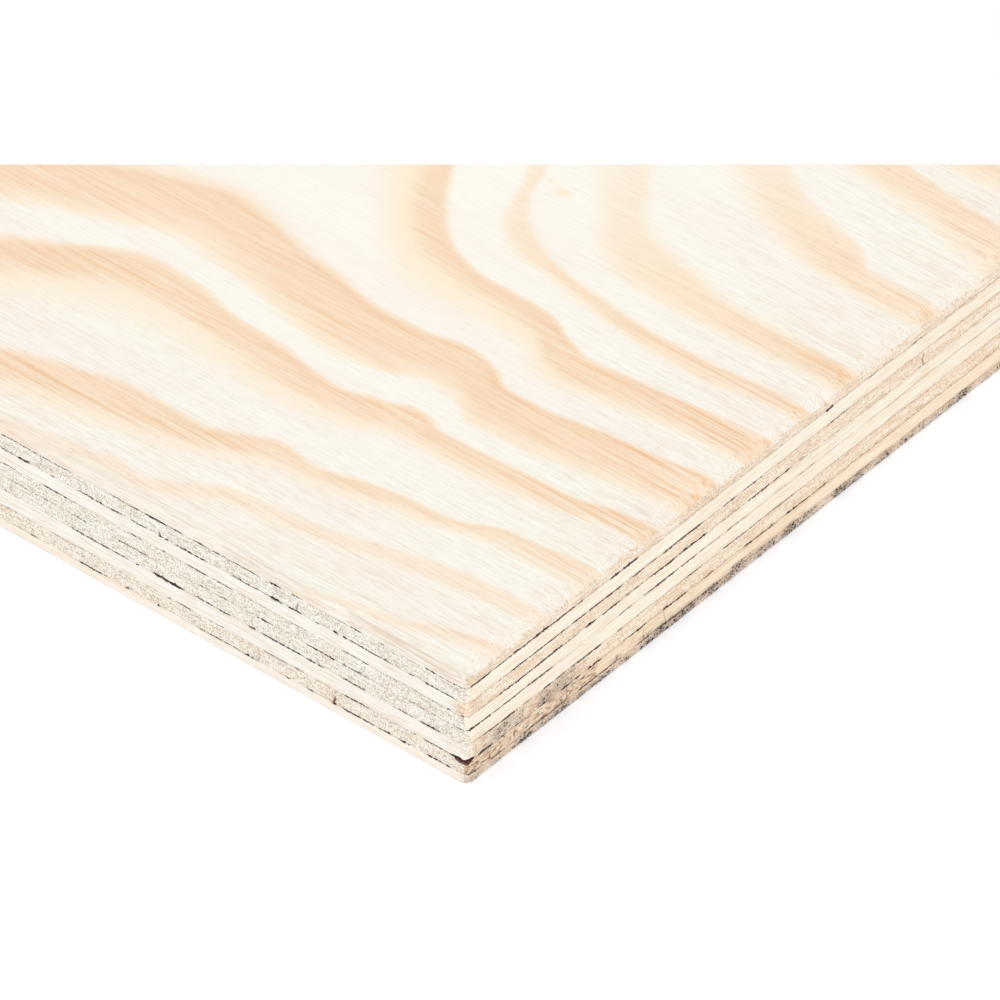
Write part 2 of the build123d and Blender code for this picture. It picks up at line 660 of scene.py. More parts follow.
first_glue_and_void_shade = glue_and_void_shade(7, "right", np.array((0.0, 1.0, 2.0)))
print("glue under the face, from the corner on", np.round(first_glue_and_void_shade, 2))

# %% [markdown]
# No glue line is quite straight. Each lies a little off its even place in the pile, by one amount
# on the long edge and another on the end, and undulates in three sizes. One noise with more detail
# would undulate too, but three of them can each have a strength of its own.

# %% Rise of a glue line
# On the long edge and on the end, in mm
line_offsets = {1: (-.33, -.48), 2: (-.36, -.48), 3: (-.1, -.35), 4: (-.12, -.2),
                5: (-.26, -.34), 6: (-.28, -.3), 7: (-.3, -.2)}
turn_length = 6.0


def glue_rise(line, places):
    """How far a glue line lies above its even place in the pile, in metres."""
    if not 1 <= line <= 7:
        return np.zeros(len(places))
    flat = places * np.array((1.0, 1.0, 0.0))
    slow = wander(flat, (28 * mm, 28 * mm, 1.0), 200 + line)
    quick = wander(flat, (3.2 * mm, 3.2 * mm, 1.0), 210 + line)
    small = wander(flat, (0.9 * mm, 0.9 * mm, 1.0), 220 + line)
    on_front, on_end = line_offsets[line]
    _, from_edge = corner_distances(places)
    offset = on_front + (on_end - on_front) * soft_step(0.0, turn_length, from_edge)
    return (offset + 0.10 * slow + 0.08 * quick + 0.05 * small) * mm


corner_rise = glue_rise(7, np.array([corner_foot]))[0] / mm
print("at the corner line 7 lies off its place by", round(corner_rise, 2), "mm")

# %% [markdown]
# At the photographed corner a splinter has broken out of the lower crossband, under the ply above
# it, and it leaves a gap whose dark is painted shade, laid on with the cracks. Small chips are
# also missing from the arris of the face on the end. A boolean could cut them out. They are so
# shallow that it is simpler to let the points that are there give way.

# %% Splinter and chips
splinter_length = 3.4
splinter_width = 1.7
splinter_height = 0.42
# Each chip: how far it is from the corner, how wide and how deep, in mm
end_chips = [(5.6, 0.5, 0.25), (20.4, 0.7, 0.5), (31.2, 0.8, 0.5), (33.2, 0.9, 0.6),
             (46.4, 0.6, 0.4), (64.0, 0.9, 0.4), (72.6, 1.2, 0.8), (86.0, 0.8, 0.4)]


def splinter_drop(places):
    """How far the top of the lower crossband has broken away, from 0 to 1."""
    from_end, from_edge = corner_distances(places)
    return np.clip(1.0 - from_end / splinter_length - from_edge / splinter_width, 0.0, 1.0)


def chip_depth(along):
    """Depth of the chips along the arris of the end, in mm."""
    depth = np.zeros_like(along)
    for place, width, deep in end_chips:
        depth = np.maximum(depth, deep * np.clip(1.0 - np.abs(along - place) / width * 2.0, 0.0, 1.0))
    return depth


print("chips", len(end_chips), "and the deepest", max(deep for _, _, deep in end_chips), "mm")

# %% [markdown]
# Across the grain the saw tears out the ends of the fibres and leaves pits. Along the grain it
# lifts slivers and leaves long shallow grooves. Upright corners are nibbled away as well. A mesh
# fine enough for single fibres would be huge, so the mesh has pits and grooves only, and the finish
# draws the fibres.

# %% Roughness of a sawn edge
saw_waver = 0.03
pit_depth = 0.12
groove_depth = 0.05
nibble_depth = 0.7
nibble_reach = 1.1 * mm


def torn_pits(here, pattern):
    """Pits where the saw tore out the ends of the fibres, from 0 to 1."""
    fine = wander(here, (0.5 * mm, 0.5 * mm, 0.4 * mm), pattern)
    patchy = wander(here, (4 * mm, 4 * mm, 1.4 * mm), pattern + 10)
    return soft_step(0.12, 0.5, fine + 0.3 * patchy)


def lifted_slivers(here, pattern):
    """Long shallow grooves where slivers of long grain came away, from 0 to 1."""
    groove = wander(here, (5 * mm, 5 * mm, 0.32 * mm), pattern)
    return soft_step(0.2, 0.55, groove)


def rim_depth(here, number, across_grain):
    """How far a sawn edge lies behind its plane, in mm, and how torn it is."""
    saw = saw_waver * wander(here, (35 * mm, 35 * mm, 30 * mm), 300 + number)
    if across_grain:
        torn = torn_pits(here, 310 + number)
        rough = 0.02 + pit_depth * torn + 0.02 * wander(here, (0.9 * mm, 0.9 * mm, 0.7 * mm), 335 + number)
    else:
        torn = lifted_slivers(here, 340 + number)
        rough = 0.01 + groove_depth * torn + 0.015 * wander(here, (9 * mm, 9 * mm, 0.6 * mm), 350 + number)
    corner_x = np.minimum(sheet_high.x - here[:, 0], here[:, 0] - sheet_low.x)
    corner_y = np.minimum(sheet_high.y - here[:, 1], here[:, 1] - sheet_low.y)
    beside_corner = np.exp(-(corner_x + corner_y) / nibble_reach)
    nibbled = np.abs(wander(here, (0.9 * mm, 0.9 * mm, 0.7 * mm), 360 + number))
    rough += beside_corner * (0.05 + nibble_depth * nibbled)
    return saw_waver + saw + rough, torn


sample_end = np.array([(sheet_high.x, sheet_low.y + step, 0.0) for step in np.arange(0.01, 0.1, 0.001)])
print("a sawn end lies back by", np.round(rim_depth(sample_end, 0, True)[0].mean(), 3), "mm on average")

# %% [markdown]
# A veneer doesn't change from long grain to end grain exactly at the corner, because the corner is
# rounded off and dirty. So the look of one side runs a little way round it, further on some
# veneers than on others. A mask painted by hand could do this. One number for each veneer is
# enough: by how much the distances to the two edges differ where the look changes.

# %% Corners
corner_easings = (0.8, 0.9, 1.2, 1.0, 1.1, 1.4, 0.9, 1.0)
corner_turns = (0.5, 0.0, 1.2, 0.5, -0.2, -1.8, 0.2, 0.0)
corner_zone = 5.0


def turn_corner(number, grain_along_x, places, end_grain):
    """Lets the look of one side run a little way round the photographed corner."""
    from_end, from_edge = corner_distances(places)
    turn = corner_turns[number] + 0.5 * wander(places, (0.8 * mm, 0.8 * mm, 0.6 * mm), 380 + number)
    reach = 0.4 + 0.3 * abs(corner_turns[number])
    on_end = soft_step(turn - reach, turn + reach, from_edge - from_end)
    turned = on_end if grain_along_x else 1.0 - on_end
    return np.where((from_end < corner_zone) & (from_edge < corner_zone), turned, end_grain)


def round_corners(places, number):
    """Eases the four upright corners of the sheet, a little differently on each veneer."""
    radius = corner_easings[number] * mm
    for centre_x, sign_x in ((sheet_high.x - radius, 1.0), (sheet_low.x + radius, -1.0)):
        for centre_y, sign_y in ((sheet_low.y + radius, -1.0), (sheet_high.y - radius, 1.0)):
            out_x = (places[:, 0] - centre_x) * sign_x
            out_y = (places[:, 1] - centre_y) * sign_y
            distance = np.hypot(out_x, out_y)
            beyond = (out_x > 0.0) & (out_y > 0.0) & (distance > radius)
            shrink = np.where(beyond, radius / np.maximum(distance, radius), 1.0)
            places[:, 0] = np.where(beyond, centre_x + out_x * shrink * sign_x, places[:, 0])
            places[:, 1] = np.where(beyond, centre_y + out_y * shrink * sign_y, places[:, 1])
    return places


print("corners eased by", min(corner_easings), "to", max(corner_easings), "mm")

# %% [markdown]
# Beside a glue line the arris of each veneer has crumbled, the more the darker the line. On the
# end the arris of the face has frayed out too, and hands and floors have rubbed it down. A bevel
# would be far too even for that, so each of the three is a small sum with a wander in it.

# %% Worn arrises
crumble_reach = 0.08
crumble_depth = 0.12
fray_depth = 0.4
rub_reach = 2.2


def crumble(gap, darkness):
    """How far the arris beside a glue line has crumbled away, in mm."""
    return np.exp(-gap / crumble_reach) * (0.02 + crumble_depth * darkness)


def frayed_arris(here, along, high_gap):
    """How far the chips and the fraying of the face's end go in, in mm."""
    chips = 0.8 * chip_depth(along) * soft_step(1.3, 0.2, high_gap)
    fray = np.abs(wander(here, (1.1 * mm, 1.1 * mm, 0.8 * mm), 370))
    return chips + fray_depth * fray * soft_step(0.7, 0.0, high_gap)


def rubbed_arris(places, level):
    """How far the arris of the face's end is rubbed down, in metres."""
    from_end, from_edge = corner_distances(places)
    on_end = places * np.array((0, 1, 0))
    rubbed = 0.55 + 0.5 * wander(on_end, (1.0, 6 * mm, 1.0), 375)
    rubbed += 0.25 * wander(on_end, (1.0, 1.8 * mm, 1.0), 376)
    lost = 0.7 * chip_depth(from_edge) + rubbed * soft_step(0.0, 2.0, from_edge)
    lost *= soft_step(rub_reach, 0.0, from_end)
    return np.maximum(lost, 0.0) * mm * soft_step(0.2, 1.0, level)


print("a dark line crumbles its arris by", round(crumble(0.0, 1.0), 2), "mm")

# %% [markdown]
# All of this is pressed into the plain mesh at once, as a depth for each point. A displacement
# modifier could do it from a texture, but our depths depend on the side, the ply and the glue, so
# we work on the list of points. What the finish needs later, such as how dark the glue and the
# painted shade of its voids beside a point are, is kept with the mesh as a named number for each point.

# %% Wear
along_grain = ("face_veneer", "back_veneer", "upper_inner_ply", "lower_inner_ply")
top_number = 7


def points_of(mesh):
    """The places of a mesh's points, one row each."""
    flat = np.zeros(len(mesh.vertices) * 3)
    mesh.vertices.foreach_get("co", flat)
    return flat.reshape(-1, 3)


def add_note(mesh, title, values):
    """Keeps one number for each point of a mesh, under a name that a material can read."""
    kept = mesh.attributes.new(title, "FLOAT", "POINT")
    kept.data.foreach_set("value", np.asarray(values, np.float32))


def press_sides(name, number, places, low_gap, high_gap):
    """Moves the points of each side inwards, and notes the glue with the painted shade of its voids, the
    tearing and the grain there.
    """
    titles = ("glue_and_void_shade_low", "glue_and_void_shade_high", "end_grain", "torn", "rim")
    noted = {title: np.zeros(len(places)) for title in titles}
    pull = np.full(len(places), 1e-9)
    moved = places.copy()
    for side, share, inward, along in edge_sides(places):
        near = share > 0.0
        across_grain = (side in ("right", "left")) == (name in along_grain)
        dark_low = glue_and_void_shade(number, side, along[near])
        dark_high = glue_and_void_shade(number + 1, side, along[near])
        depth, torn = rim_depth(places[near], number, across_grain)
        depth += crumble(low_gap[near], dark_low) * (number > 0)
        depth += crumble(high_gap[near], dark_high) * (number < top_number)
        if name == "face_veneer" and side == "right":
            depth += frayed_arris(places[near], along[near], high_gap[near])
        depth = np.maximum(depth, 0.0) * mm * share[near]
        moved[near, 0] += inward[0] * depth
        moved[near, 1] += inward[1] * depth
        stronger = share[near] > noted["rim"][near]
        chosen = np.flatnonzero(near)[stronger]
        for title, values in (("glue_and_void_shade_low", dark_low), ("glue_and_void_shade_high", dark_high), ("torn", torn)):
            noted[title][chosen] = values[stronger]
        noted["rim"][chosen] = share[chosen]
        noted["end_grain"] += across_grain * share ** 2
        pull += share ** 2
    noted["end_grain"] = turn_corner(number, name in along_grain, places, noted["end_grain"] / pull)
    noted["end_grain"] *= soft_step(0.5, 0.95, noted["rim"])
    return moved, noted


def wear(name, number, mesh, low, high):
    """Presses the relief into a plain veneer, and notes on each point what its finish needs."""
    places = points_of(mesh)
    level = np.clip((places[:, 2] - low) / (high - low), 0.0, 1.0)
    low_gap = level * (high - low) / mm
    high_gap = (1.0 - level) * (high - low) / mm
    moved, noted = press_sides(name, number, places, low_gap, high_gap)
    lift = (1.0 - level) * glue_rise(number, places) + level * glue_rise(number + 1, places)
    moved[:, 2] += lift * noted["rim"]
    if name == "lower_crossband":
        drop = splinter_drop(places) * splinter_height * mm
        moved[:, 2] -= drop * soft_step(0.55, 1.0, level) * noted["rim"]
    if name == "face_veneer":
        moved[:, 2] -= rubbed_arris(places, level)
    mesh.vertices.foreach_set("co", round_corners(moved, number).ravel())
    mesh.update()
    for title, values in {"low_gap": low_gap, "high_gap": high_gap, **noted}.items():
        add_note(mesh, title, values)
    return places


print("veneers with their grain along the length", len(along_grain))

# %% [markdown]
# ## The figure of the face
#
# Veneer is peeled off a turning log, and the knife cuts through the growth rings at a flat angle.
# So the face is like a map with contour lines: each ring comes up to the surface along a line, and
# the dark late wood lies on one side of it, ending sharply, with a slow fade on the other side.
#
# We write the map as one number for each point of the face, which passes a whole number on each
# ring line. In the photographed corner the ring lines are listed, as distance from the
# end, distance from the long edge, and width of the late wood, all in millimetres. Over the rest
# of the sheet the same number wanders by itself.

# %% Ring lines near the corner
ring_lines = [
    [(0, 8.2, 1.9), (5, 7, 1.9), (10, 5.4, 1.6), (15, 3.3, 1), (20, 2.3, .8), (25, 1, .6),
     (40, -3, 1), (80, -8, 2), (180, -14, 3)],
    [(0, 16, 2), (10, 15.8, 2.2), (20, 14.4, 2), (30, 11.6, 1.5), (40, 10, 1.2), (47, 9, 1.2),
     (50, 7.6, 2), (55, 4.6, 1.5), (58, 3.4, 1), (62, 4, 1.2), (66, 3.2, 1.2), (75, 1.5, 1),
     (90, -3, 1.5), (180, -10, 3)],
    [(0, 27, 3.6), (5, 26.6, 3.4), (10, 25.8, 2.6), (16, 25.1, 2.4), (20, 23, 1.2), (30, 21.9, 1.8),
     (36, 20.6, 2.2), (42, 19, 1.2), (48, 20, 3), (52, 18.7, 3.6), (58, 16, 3.2), (66, 16, 5),
     (72, 15.8, 6), (78, 14.4, 5.5), (86, 12, 5), (95, 8, 5), (120, 0, 5), (180, -4, 5)],
    [(0, 38.2, 3.2), (6, 37.6, 2.8), (12, 36, 2.6), (20, 35.5, 3), (34, 35.3, 2.6), (39, 36.7, 4),
     (44, 35, 4.4), (50, 33.4, 3.2), (60, 35, 4.6), (70, 35.7, 3.8), (77, 37.2, 4.6), (88, 37, 6),
     (92, 35, 6.5), (98, 31, 6), (104, 28, 6), (120, 20, 6), (180, 8, 5)],
    [(0, 50.5, 7.5), (10, 49.2, 7.2), (20, 48, 7.5), (26, 47, 6.8), (33, 47, 7), (37, 49.2, 6.5),
     (42, 50.4, 7), (49, 49, 8.5), (58, 49.1, 9), (64, 50.3, 8.8), (73, 52, 8.5), (77, 53.2, 9),
     (86, 54.8, 9.5), (92, 53, 9.6), (100, 50, 9.5), (113, 42, 8), (130, 32, 8), (180, 20, 8)],
    [(0, 61.5, 5.5), (10, 60.4, 4.6), (20, 59.3, 4.2), (29, 58.7, 4.9), (33, 60, 5), (37, 62, 3.6),
     (45, 62.6, 2.6), (52, 63, 2.8), (57, 65, 3.4), (61, 68, 4.4), (64, 71.5, 5), (67, 76, 6),
     (70, 82, 7), (80, 95, 9), (110, 105, 10), (180, 110, 10)],
    [(0, 69.2, 2.2), (8, 69, 2.4), (14, 68.1, 2.6), (25, 67.8, 2), (35, 68.8, 1.4), (44, 70.5, 1.2),
     (50, 73, 2.4), (54, 76, 3), (56.5, 80, 3.6), (58, 85, 4.4), (62, 95, 5), (75, 108, 6),
     (110, 118, 8), (180, 124, 8)],
    [(0, 78.8, 3.4), (10, 78.6, 3.2), (20, 78.5, 3.4), (25, 79.1, 4), (30, 80.6, 5.2),
     (35, 81.8, 5.5), (40, 83.7, 6), (43, 86.6, 6.5), (45, 89.5, 7), (48, 94, 8), (52, 99, 8),
     (60, 107, 9), (75, 118, 9), (110, 128, 9), (180, 134, 8)],
    [(0, 95.8, 2.8), (10, 95.5, 2.6), (13, 95.9, 2.8), (15, 97.5, 4), (17, 98.7, 4.4),
     (20, 99.5, 4.4), (25, 101.2, 4.6), (30, 103.3, 4.4), (35, 106.2, 4), (50, 115, 4),
     (75, 128, 6), (110, 137, 7), (180, 143, 7)],
    [(0, 113, 6.5), (6, 114.2, 6), (12, 114.8, 4.3), (20, 116, 4.5), (28, 118, 5), (50, 126, 6),
     (110, 146, 6), (180, 152, 6)],
    [(0, 126, 4), (14, 125.5, 4.5), (30, 129, 5), (60, 136, 6), (110, 155, 6), (180, 161, 6)],
]
# For each ring: how strong its late wood is at the end of the sheet and 100 mm in from it, how softly
# it stops as a share of the next ring, and over how many mm it fades in, at the end and 100 mm in
ring_habits = [
    (.36, .3, .10, 1, 2), (.36, .4, .06, 1, 3), (.45, 1.08, .05, 1.5, 6), (.85, .95, .05, .6, 12),
    (.97, .95, .07, 1, 3), (1.0, .85, .07, .8, 19), (.92, -.12, .1, .8, 4), (.86, -.4, .16, 1.5, 8),
    (.8, -.55, .08, 1, 16), (.6, .6, .06, 3, 3), (.6, .6, .06, 3, 4),
]
print("ring lines put down by hand", len(ring_lines))

# %% [markdown]
# A straight line from point to point would give the rings corners. So a smooth curve goes through
# the points, flat where they turn round, which keeps it from swinging out past them. Between two
# neighbouring ring lines the number simply goes up by one.

# %% Ring map from the listed lines
ring_spacing = 11.75
sharp_end = 0.05
habit_reach = 100.0
fade_power = 1.4


def smooth_curve(points, along):
    """A smooth line through given points (distance, value), without overshoot."""
    knots = np.array([point[0] for point in points], float)
    values = np.array([point[1] for point in points], float)
    slopes = np.gradient(values, knots)
    index = np.clip(np.searchsorted(knots, along) - 1, 0, len(knots) - 2)
    width = knots[index + 1] - knots[index]
    t = np.clip((along - knots[index]) / width, 0.0, 1.0)
    straight = (values[index + 1] - values[index]) / width
    first = np.where(slopes[index] * straight > 0.0, slopes[index], 0.0)
    last = np.where(slopes[index + 1] * straight > 0.0, slopes[index + 1], 0.0)
    bend_in = t * (1.0 - t) ** 2 * (first - straight)
    bend_out = t ** 2 * (1.0 - t) * (straight - last)
    return values[index] + width * (t * straight + bend_in + bend_out)


def hand_rings(from_end, from_edge):
    """The notes of the ring map from the listed lines."""
    heights = [smooth_curve([point[:2] for point in points], from_end) for points in ring_lines]
    widths = [np.interp(from_end, [p[0] for p in points], [p[2] for p in points]) for points in ring_lines]
    inner = np.clip(from_end / habit_reach, 0.0, 1.0)
    strengths = [habit[0] + (habit[1] - habit[0]) * inner for habit in ring_habits]
    below = heights[0] - ring_spacing
    map_notes = {"late": 0.3, "strength": 0.3, "soft": sharp_end, "fade": 0.25}
    map_notes = {title: np.full_like(from_end, value) for title, value in map_notes.items()}
    map_notes["ring"] = (from_edge - below) / ring_spacing
    for k, (height, width, strength, habit) in enumerate(zip(heights, widths, strengths, ring_habits)):
        last_line = heights[k - 1] if k else below
        last_strength = strengths[k - 1] if k else strength
        last_soft = ring_habits[k - 1][2] if k else sharp_end
        gap = np.maximum(height - last_line, 1.0)
        way = (from_edge - last_line) / gap
        here = {
            "ring": k + way,
            "late": width / gap,
            "strength": last_strength + (strength - last_strength) * soft_step(0.1, 0.4, way),
            "soft": last_soft * (1.0 + 1.2 * inner),
            "fade": (habit[3] + (habit[4] - habit[3]) * inner ** fade_power) / gap,
        }
        for title, values in here.items():
            map_notes[title] = np.where(from_edge >= last_line, values, map_notes[title])
    above = len(heights) + (from_edge - heights[-1]) / ring_spacing
    map_notes["ring"] = np.where(from_edge >= heights[-1], above, map_notes["ring"])
    return map_notes


end_stretch = 110.0
ring_count = hand_rings(np.zeros(1), np.array([end_stretch]))["ring"][0]
print("rings along the first", end_stretch, "mm of the end", round(ring_count, 1))

# %% [markdown]
# Over the rest of the sheet the number is an even ramp that wanders, broadly and finely. The ramp
# levels out, so the rings lie further and further apart towards the back, as they do where the
# knife meets the log ever more flatly.

# %% Ring map elsewhere
ring_start = 0.28
ramp_reach = 20.0
# Each wave: how many rings it shifts them by, and its size in metres
ring_waves = [(3.4, (0.52, 0.17, 1.0)), (1.5, (0.19, 0.062, 1.0)), (0.35, (0.07, 0.024, 1.0))]


def wandering_rings(places, pattern):
    """The same notes where nothing was put down by hand."""
    _, from_edge = corner_distances(places)
    flat = places * np.array((1.0, 1.0, 0.0))
    ring = ring_start + ramp_reach * np.tanh(from_edge / ring_spacing / ramp_reach)
    for number, (shift, size) in enumerate(ring_waves):
        ring = ring + shift * wander(flat, size, pattern + number)
    map_notes = {
        "ring": ring,
        "late": 0.36 + 0.16 * wander(flat, (0.2, 0.03, 1.0), pattern + 3),
        "strength": 0.75 + 0.3 * wander(flat, (0.3, 0.05, 1.0), pattern + 4),
        "soft": np.full_like(ring, sharp_end),
        "fade": 0.26 + 0.15 * wander(flat, (0.2, 0.04, 1.0), pattern + 5),
    }
    return map_notes


corner_ring = wandering_rings(np.array([corner_foot]), 1)["ring"][0]
print("ring at the corner, by wander alone", round(corner_ring, 2))

# %% [markdown]
# Now both maps are noted on the points of a face. The listed one fades into the other outside
# the photographed corner. The points also note how near the rim is, since the figure is crisper
# there, and where a little resin has bled out.

# %% Draw the figure
close_end = 120.0
close_edge = 130.0
worn_reach = 35 * mm
resin_spots = [(53.2, 82.6, 1.9), (55.6, 83.4, 1.3), (31.0, 124.0, 1.5)]


def resin_strength(places):
    """Small yellow spots where resin has bled out of the face, drawn out along the grain."""
    from_end, from_edge = corner_distances(places)
    strength = np.zeros(len(places))
    for spot_end, spot_edge, radius in resin_spots:
        distance = np.hypot(from_end - spot_end, 1.6 * (from_edge - spot_edge))
        strength = np.maximum(strength, np.clip(1.0 - distance / radius, 0.0, 1.0))
    return strength


def draw_figure(mesh, places, by_hand, pattern):
    """Notes the ring map on a veneer's points."""
    map_notes = wandering_rings(places, pattern)
    from_end, from_edge = corner_distances(places)
    if by_hand:
        hand_notes = hand_rings(from_end, from_edge)
        here = 1.0 - soft_step(1.0, 1.7, np.hypot(from_end / close_end, from_edge / close_edge))
        for title, values in hand_notes.items():
            map_notes[title] = here * values + (1.0 - here) * map_notes[title]
        map_notes["strength"] *= 1.0 - 0.45 * soft_step(1.2, 0.2, from_edge)
    else:
        map_notes["strength"] *= soft_step(0.0, 20.0, from_edge) * 0.8 + 0.2
    from_rim = np.minimum(
        np.minimum(sheet_high.x - places[:, 0], places[:, 0] - sheet_low.x),
        np.minimum(sheet_high.y - places[:, 1], places[:, 1] - sheet_low.y),
    )
    map_notes["worn"] = np.exp(-np.maximum(from_rim, 0.0) / worn_reach)
    map_notes["resin"] = resin_strength(places) * by_hand
    for title, values in map_notes.items():
        lowest, highest = (-100.0, 100.0) if title == "ring" else (0.01, 1.0)
        add_note(mesh, title, np.clip(values, lowest, highest))


print("resin spots", len(resin_spots))

# %% [markdown]
# ## Dirt, stains, cracks, and painted shade in a gap
#
# The end of the back veneer has picked up grey dirt along its whole length, and the ply above the
# lower crossband has two smudges near the corner. Damp has left brown stains beside them, and a
# few short cracks stand upright in the plies. Each patch is written down as distances from the
# corner and heights, in millimetres, and how strong it is.

# %% Dirt, stains and cracks
# Each patch: from where to where along the edge, from which height to which, and how strong
end_dirt = [
    (-2, 620, -0.5, 1.1, 0.85), (-2, 40, 0.9, 1.8, 0.45), (40, 620, 0.8, 2.0, 0.7),
    (10, 42, -0.5, 1.1, 1.0), (68, 84, -0.5, 1.9, 0.85), (90, 96, -0.5, 1.8, 0.8),
    (3, 11.5, 4.3, 6.3, 0.59), (14, 21.5, 4.2, 6.5, 0.57), (53, 58.5, 1.4, 2.6, 0.9),
    (37, 66, 0.4, 2.2, 0.9), (28.5, 30.6, 1.4, 2.6, 0.6), (34.4, 37, 1.4, 2.6, 0.7),
    (0, 3, 1.2, 2.2, 0.5), (3.5, 5, 2.9, 3.6, 0.5), (17, 22, 3.2, 4.2, 0.35),
]
end_stains = [
    (-1, 9, 1.7, 4.2, 0.95), (9, 26, 1.7, 4.2, 0.88), (26, 46, 1.7, 4.2, 0.35),
    (-1, 3.5, 4.4, 7.5, 0.4), (12, 24, 4.2, 6.4, 0.68), (-1, 3, 11.4, 14, 0.3),
    (-2, 620, 1.0, 1.9, 0.6), (-1, 5, 16.4, 18, 0.6), (42, 56, 16.3, 17.6, 0.25),
    (60, 70, 16.3, 17.4, 0.2), (76, 112, 16.3, 17.3, 0.05),
]
# Brown that has soaked into the wood along the glue lines of the end
soaked_lines = [
    (84, 112, 15.8, 16.3, 0.5), (62, 112, 13.5, 14.1, 0.5), (46, 112, 10.9, 11.4, 0.55),
    (48, 112, 8.7, 9.2, 0.35), (30, 84, 6.3, 6.8, 0.42), (84, 112, 6.5, 7.0, 0.42),
    (30, 84, 3.7, 4.4, 0.5), (84, 112, 4.1, 4.7, 0.5), (30, 68, 1.7, 2.7, 0.54),
]
front_stains = [
    (-1, 2.7, 11.5, 13.7, 0.35), (1, 20, 16.6, 18.2, 0.55), (-1, 3.4, 4.5, 6.4, 0.3),
    (-1, 1.4, 0, 2, 0.4), (22, 41, 16.5, 18.2, 0.34), (21.6, 22.9, 1.6, 3.2, 0.8),
    (44, 78, 16.4, 18.2, 0.16),
]
# Each crack: where along the edge, from which height to which, and how strong
end_cracks = [
    (2.2, 2.4, 3.6, 0.5), (4.6, 2.0, 3.2, 0.6), (9.5, 2.4, 3.7, 0.75), (16.8, 2.6, 3.9, 0.4),
    (19.7, 1.6, 2.8, 0.7), (24.2, 2.2, 3.2, 0.35), (35.2, 1.7, 4.0, 0.5), (39.4, 2.1, 4.1, 0.5),
    (92.0, 11.4, 13.4, 0.7), (77.0, 11.4, 12.9, 0.35), (29.9, 1.8, 2.7, 0.8),
    (12.2, 2.2, 3.6, 0.4), (54.1, 1.7, 2.6, 0.6),
]
long_edge_cracks = [
    (34.9, 1.7, 3.9, 0.55), (22.2, 1.5, 2.9, 1.0), (28.4, 13.8, 15.4, 0.7), (51.5, 13.8, 14.6, 0.9),
    (66.0, 14.0, 16.0, 0.3), (31.3, 14.0, 15.9, 0.35), (71.9, 14.5, 16.2, 0.5),
]
marks = {
    "soil": {"right": end_dirt},
    "stain": {"right": end_stains + soaked_lines, "front": front_stains},
    "crack": {"right": end_cracks, "front": long_edge_cracks},
}
print({title: sum(map(len, seen.values())) for title, seen in marks.items()})

# %% [markdown]
# A patch fades out all round, and a crack is a thin upright line that leans to and fro. Painted
# images could hold them, but they would need the edges unwrapped. The points of the rim lie close
# enough together to carry them as notes.

# %% Mark the edges
patch_fade = 0.6
height_fade = 0.3
crack_width = 0.3
crack_lean = 0.15


def patch_strength(patch, along, height):
    """How strong one patch of dirt or stain is at each point."""
    start, end, low, high, strength = patch
    across = soft_step(start - patch_fade, start + patch_fade, along)
    across *= soft_step(end + patch_fade, end - patch_fade, along)
    upright = soft_step(low - height_fade, low + height_fade, height)
    upright *= soft_step(high + height_fade, high - height_fade, height)
    return strength * across * upright


def crack_strength(crack, along, height):
    """How strong one upright crack is at each point."""
    place, low, high, strength = crack
    lean = crack_lean * np.sin(height * 2.6 + place)
    across = np.clip(1.0 - np.abs(along - place - lean) / crack_width, 0.0, 1.0)
    upright = soft_step(low - 0.1, low + 0.2, height) * soft_step(high + 0.1, high - 0.2, height)
    return strength * across * upright


def mark_edges(name, mesh, places):
    """Notes the dirt, the stains and the cracks on a veneer's points, and painted shade in the splinter's
    gap.
    """
    height = (places[:, 2] - sheet_low.z) / mm
    for title, seen in marks.items():
        strength_of = crack_strength if title == "crack" else patch_strength
        values = np.zeros(len(places))
        for side, share, _, along in edge_sides(places):
            for mark in seen.get(side, []):
                here = strength_of(mark, along, height) * (share > 0.5)
                values = np.maximum(values, here)
        # Painted shade: the top of the lower crossband where the splinter broke away is darkened like a
        # crack, as the gap under the ply above.
        if title == "crack" and name == "lower_crossband":
            top = np.max(height)
            values = np.maximum(values, soft_step(0.25, 0.55, splinter_drop(places)) * (height > top - 0.5))
        add_note(mesh, title, values)


print("marks fade over", patch_fade, "mm along the edge and", height_fade, "mm upright")

# %% [markdown]
# ## Wood that goes all the way through
#
# A picture of wood wrapped round a board looks wrong at the corners, because real grain runs
# through the board. So the finish is a solid pattern on object coordinates: a noise that is drawn
# out a few millimetres along the grain and is very fine across it. On a face it shows as fibres,
# and on a cut across the grain the very same noise shows as fine dots, which is what end grain is.
#
# First a few short helpers that add a node and connect it.

# %% Node helpers
def colour(red, green, blue):
    """A colour as it looks on the screen, 0 to 255, as the numbers that a shader works with."""
    shares = [value / 255.0 for value in (red, green, blue)]
    linear = [s / 12.92 if s <= 0.04045 else ((s + 0.055) / 1.055) ** 2.4 for s in shares]
    return (*linear, 1.0)


def feed(tree, socket, value):
    """Connects a socket, or sets it where the value is a plain one."""
    if isinstance(value, bpy.types.NodeSocket):
        tree.links.new(value, socket)
    else:
        socket.default_value = value


def calc(tree, operation, first, second=0.0, third=0.0, clamp=False):
    """One sum. MULTIPLY_ADD is first times second plus third."""
    made = tree.nodes.new("ShaderNodeMath")
    made.operation = operation
    made.use_clamp = clamp
    for socket, value in zip(made.inputs, (first, second, third)):
        feed(tree, socket, value)
    return made.outputs[0]


def rise(tree, value, low, high, start=0.0, end=1.0):
    """A smooth rise from start to end as the value goes from low to high."""
    made = tree.nodes.new("ShaderNodeMapRange")
    made.interpolation_type = "SMOOTHSTEP"
    sockets = ("Value", "From Min", "From Max", "To Min", "To Max")
    for name, given in zip(sockets, (value, low, high, start, end)):
        feed(tree, made.inputs[name], given)
    return made.outputs["Result"]


